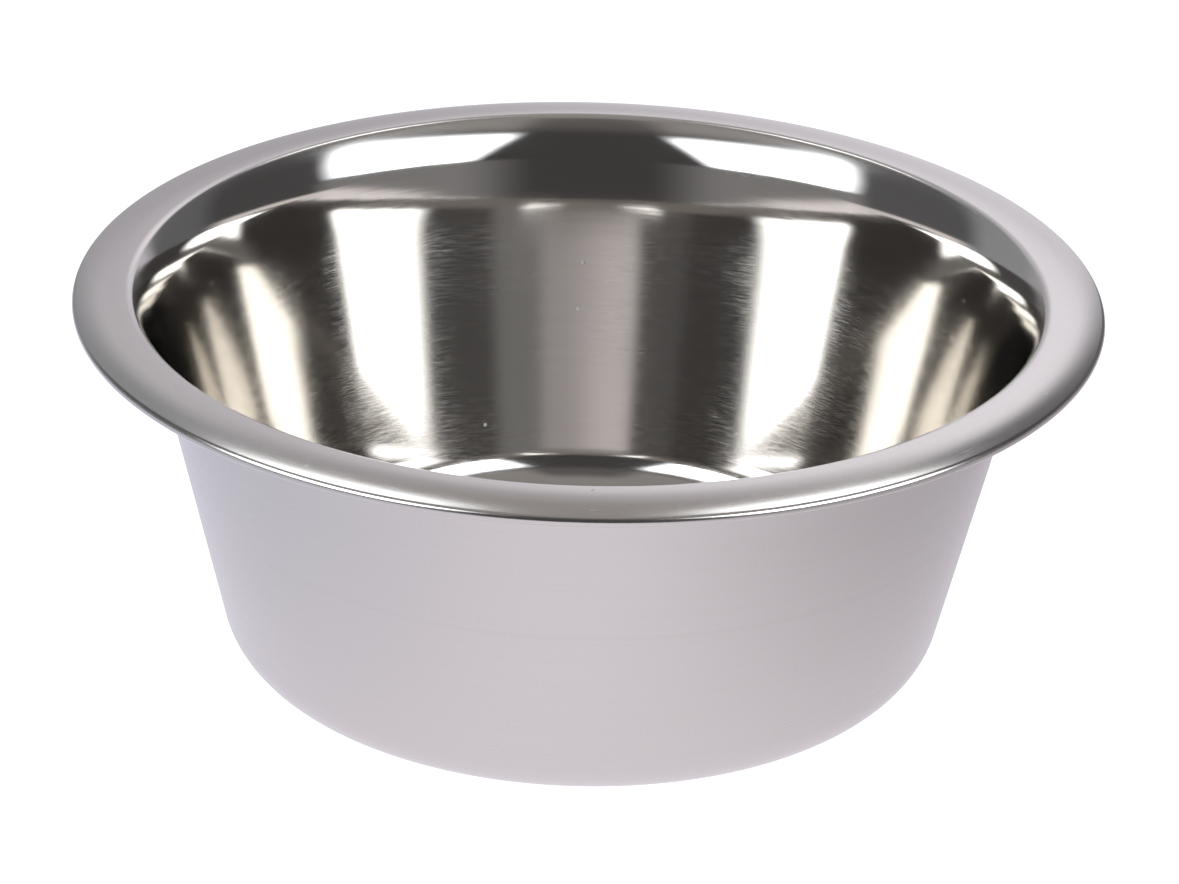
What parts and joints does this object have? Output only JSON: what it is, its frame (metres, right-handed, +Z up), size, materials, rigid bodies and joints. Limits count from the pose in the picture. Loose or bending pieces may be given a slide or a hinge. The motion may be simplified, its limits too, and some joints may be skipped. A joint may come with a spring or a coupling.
{
  "type": "shaving bowl",
  "caption": "Round drawn steel bowl with a hemmed rim, a lip that droops outward, a flared throat, a tapered wall and a flat base, for lathering shaving soap.",
  "frame": {"origin": "centre of the base, on the surface that the bowl stands on", "axes": "+Z up along the bowl's axis, out of its mouth; X and Y are any two level directions, because the bowl is round"},
  "size_m": [0.14, 0.14, 0.0538],
  "materials": {
    "steel": "polished inside and on the lip, with a fine grain round the bowl, and satin outside"
  },
  "bodies": {
    "root": {"bowl": "steel"}
  },
  "joints": []
}
